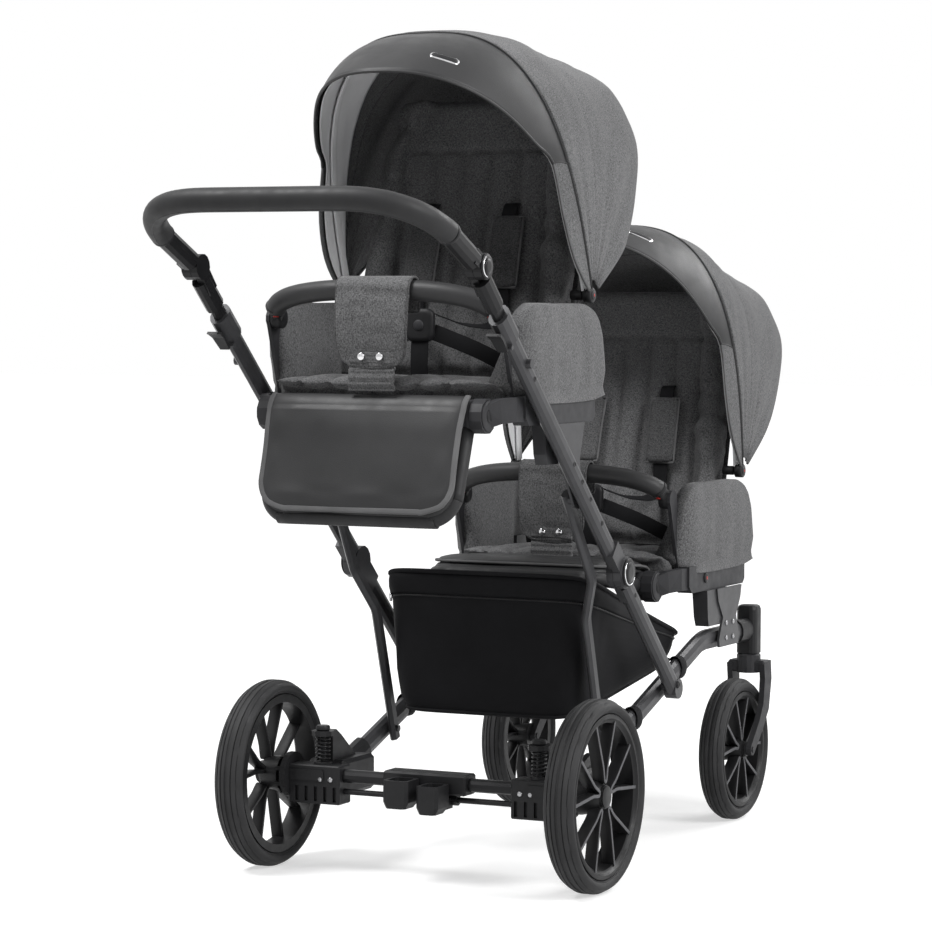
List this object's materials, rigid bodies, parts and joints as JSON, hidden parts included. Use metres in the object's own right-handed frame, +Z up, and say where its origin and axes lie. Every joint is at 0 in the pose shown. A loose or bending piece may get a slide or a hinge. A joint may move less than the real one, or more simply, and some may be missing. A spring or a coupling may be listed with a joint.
{
  "type": "double stroller",
  "caption": "Tandem double stroller: folding tube frame with telescopic U-handle, a rear and a front hooded seat facing back, open fabric basket, spoked wheels, sprung rear axle, casters in front",
  "frame": {"origin": "on the ground under the middle of the stroller, halfway across and halfway along its overall length", "axes": "+Z up; +Y the direction of travel, towards the front casters; +X the right side; the handle is at -Y and both seats face -Y"},
  "size_m": [0.619, 1.6378, 1.3281],
  "materials": {
    "grey_metal": "satin dark grey anodised tube",
    "black_metal": "satin black coated metal",
    "steel": "plain steel",
    "black_plastic": "fine-grained black moulding",
    "grey_plastic": "fine-grained dark grey moulding",
    "wheel_plastic": "satin charcoal moulding",
    "tyre": "matt black rubber",
    "leatherette": "soft black leatherette",
    "fabric": "charcoal melange cloth",
    "nylon": "plain black nylon cloth"
  },
  "bodies": {
    "chassis": {"low_tube_left": "grey_metal", "low_tube_right": "grey_metal", "caster_housing_left": "black_plastic", "caster_housing_right": "black_plastic", "rear_socket_left": "black_plastic", "rear_socket_right": "black_plastic", "lower_bracket_left": "grey_metal", "lower_bracket_right": "grey_metal", "basket": "nylon"},
    "rear_axle": {"rear_carrier_left": "black_plastic", "rear_carrier_right": "black_plastic", "axle_tube": "black_metal", "brake_housing": "black_plastic", "spring_left": "black_metal", "spring_right": "black_metal"},
    "brake_pedal": {"brake_pedal": "black_plastic"},
    "brake_pin_left": {"brake_pin_left": "steel"},
    "brake_pin_right": {"brake_pin_right": "steel"},
    "rear_wheel_left": {"rear_rim_left": "wheel_plastic", "rear_tyre_left": "tyre"},
    "rear_wheel_right": {"rear_rim_right": "wheel_plastic", "rear_tyre_right": "tyre"},
    "caster_left": {"caster_fork_left": "grey_plastic"},
    "caster_right": {"caster_fork_right": "grey_plastic"},
    "front_wheel_left": {"front_rim_left": "wheel_plastic", "front_tyre_left": "tyre"},
    "front_wheel_right": {"front_rim_right": "wheel_plastic", "front_tyre_right": "tyre"},
    "fold_link": {"main_tube_lower_left": "grey_metal", "main_tube_lower_right": "grey_metal"},
    "fold_frame": {"main_tube_upper_left": "grey_metal", "main_tube_upper_right": "grey_metal", "upper_bracket_left": "grey_metal", "upper_bracket_right": "grey_metal"},
    "struts": {"strut_left": "grey_metal", "strut_right": "grey_metal"},
    "lever_left": {"telescope_lever_left": "black_plastic"},
    "lever_right": {"telescope_lever_right": "black_plastic"},
    "handle_slide": {"handle_inner_tube_left": "black_metal", "handle_inner_tube_right": "black_metal"},
    "handle": {"handle_tube": "black_metal", "handle_grip": "leatherette"},
    "upper_seat": {"upper_seat_frame": "grey_plastic", "upper_seat_liner": "fabric"},
    "upper_back": {"upper_backrest": "fabric", "upper_hood_canopy": "fabric"},
    "upper_hood": {"upper_hood_visor": "leatherette"},
    "upper_bumper": {"upper_bumper_bar": "leatherette", "upper_crotch_flap": "fabric"},
    "upper_footrest": {"upper_footrest_loop": "leatherette", "upper_footrest_apron": "leatherette"},
    "lower_seat": {"lower_seat_frame": "grey_plastic", "lower_seat_liner": "fabric"},
    "lower_back": {"lower_backrest": "fabric", "lower_hood_canopy": "fabric"},
    "lower_hood": {"lower_hood_visor": "leatherette"},
    "lower_bumper": {"lower_bumper_bar": "leatherette", "lower_crotch_flap": "fabric"},
    "lower_footrest": {"lower_footrest_loop": "leatherette", "lower_footrest_apron": "leatherette"}
  },
  "joints": [
    {"name": "rear_suspension", "type": "slide", "parent": "chassis", "child": "rear_axle", "axis": [0, 0, 1], "range_m": [0, 0.008], "stiffness_N_per_m": 15000, "springref_m": -0.012, "deforming": ["spring_left", "spring_right"]},
    {"name": "brake_press", "type": "hinge", "parent": "rear_axle", "child": "brake_pedal", "pos_m": [0, -0.282, 0.128], "axis": [1, 0, 0], "range_deg": [0, 25]},
    {"name": "brake_pin_slide_left", "type": "slide", "parent": "rear_axle", "child": "brake_pin_left", "axis": [-1, 0, 0], "range_m": [0, 0.0065]},
    {"name": "brake_pin_slide_right", "type": "slide", "parent": "rear_axle", "child": "brake_pin_right", "axis": [1, 0, 0], "range_m": [0, 0.0065]},
    {"name": "rear_wheel_spin_left", "type": "hinge", "parent": "rear_axle", "child": "rear_wheel_left", "pos_m": [-0.2845, -0.282, 0.15], "axis": [1, 0, 0], "continuous": true},
    {"name": "rear_wheel_spin_right", "type": "hinge", "parent": "rear_axle", "child": "rear_wheel_right", "pos_m": [0.2845, -0.282, 0.15], "axis": [1, 0, 0], "continuous": true},
    {"name": "caster_swivel_left", "type": "hinge", "parent": "chassis", "child": "caster_left", "pos_m": [-0.2085, 0.578, 0.2875], "axis": [0, 0, 1], "continuous": true},
    {"name": "caster_swivel_right", "type": "hinge", "parent": "chassis", "child": "caster_right", "pos_m": [0.2085, 0.578, 0.2875], "axis": [0, 0, 1], "continuous": true},
    {"name": "front_wheel_spin_left", "type": "hinge", "parent": "caster_left", "child": "front_wheel_left", "pos_m": [-0.2085, 0.508, 0.124], "axis": [1, 0, 0], "continuous": true},
    {"name": "front_wheel_spin_right", "type": "hinge", "parent": "caster_right", "child": "front_wheel_right", "pos_m": [0.2085, 0.508, 0.124], "axis": [1, 0, 0], "continuous": true},
    {"name": "frame_fold", "type": "hinge", "parent": "fold_link", "child": "fold_frame", "pos_m": [0, -0.0775, 0.479], "axis": [1, 0, 0], "range_deg": [-20, 0]},
    {"name": "fold_link_turn", "type": "hinge", "parent": "chassis", "child": "fold_link", "pos_m": [0, 0.1475, 0.27641], "axis": [1, 0, 0], "range_deg": [0, 5.8]},
    {"name": "strut_swing", "type": "hinge", "parent": "chassis", "child": "struts", "pos_m": [0, -0.037, 0.19959], "axis": [1, 0, 0], "range_deg": [-2.2, 0]},
    {"name": "lever_open_left", "type": "hinge", "parent": "fold_frame", "child": "lever_left", "pos_m": [-0.235, -0.51143, 0.84145], "axis": [1, 0, 0], "range_deg": [0, 35]},
    {"name": "lever_open_right", "type": "hinge", "parent": "fold_frame", "child": "lever_right", "pos_m": [0.235, -0.51143, 0.84145], "axis": [1, 0, 0], "range_deg": [0, 35]},
    {"name": "handle_telescope", "type": "slide", "parent": "fold_frame", "child": "handle_slide", "axis": [0, -0.7431, 0.6691], "range_m": [-0.018, 0.1]},
    {"name": "handle_tilt", "type": "hinge", "parent": "handle_slide", "child": "handle", "pos_m": [0, -0.60402, 0.95981], "axis": [1, 0, 0], "range_deg": [-55, 35]},
    {"name": "upper_seat_lift", "type": "slide", "parent": "fold_frame", "child": "upper_seat", "axis": [0, 0, 1], "range_m": [0, 0.05]},
    {"name": "upper_recline", "type": "hinge", "parent": "upper_seat", "child": "upper_back", "pos_m": [0, -0.177, 0.7745], "axis": [-1, 0, 0], "range_deg": [0, 20]},
    {"name": "upper_hood_turn", "type": "hinge", "parent": "upper_back", "child": "upper_hood", "pos_m": [0, -0.158, 0.92], "axis": [-1, 0, 0], "range_deg": [0, 60], "deforming": ["upper_hood_canopy"]},
    {"name": "upper_bumper_swing", "type": "hinge", "parent": "upper_seat", "child": "upper_bumper", "pos_m": [0, -0.432, 0.8825], "axis": [-1, 0, 0], "range_deg": [0, 50]},
    {"name": "upper_footrest_raise", "type": "hinge", "parent": "upper_seat", "child": "upper_footrest", "pos_m": [0, -0.472, 0.7385], "axis": [-1, 0, 0], "range_deg": [0, 60]},
    {"name": "lower_seat_lift", "type": "slide", "parent": "chassis", "child": "lower_seat", "axis": [0, 0, 1], "range_m": [0, 0.05]},
    {"name": "lower_recline", "type": "hinge", "parent": "lower_seat", "child": "lower_back", "pos_m": [0, 0.488, 0.4695], "axis": [-1, 0, 0], "range_deg": [0, 30]},
    {"name": "lower_hood_turn", "type": "hinge", "parent": "lower_back", "child": "lower_hood", "pos_m": [0, 0.507, 0.615], "axis": [-1, 0, 0], "range_deg": [-14, 46], "deforming": ["lower_hood_canopy"]},
    {"name": "lower_bumper_swing", "type": "hinge", "parent": "lower_seat", "child": "lower_bumper", "pos_m": [0, 0.233, 0.5775], "axis": [-1, 0, 0], "range_deg": [0, 50]},
    {"name": "lower_footrest_raise", "type": "hinge", "parent": "lower_seat", "child": "lower_footrest", "pos_m": [0, 0.193, 0.4335], "axis": [-1, 0, 0], "range_deg": [-6, 0]}
  ],
  "couplings": [
    {"joint": "brake_pin_slide_left", "follows": "brake_press", "m_per_rad": 0.0148},
    {"joint": "brake_pin_slide_right", "follows": "brake_press", "m_per_rad": 0.0148},
    {"joint": "fold_link_turn", "follows": "frame_fold", "ratio": -0.2893},
    {"joint": "strut_swing", "follows": "frame_fold", "ratio": 0.1085}
  ]
}
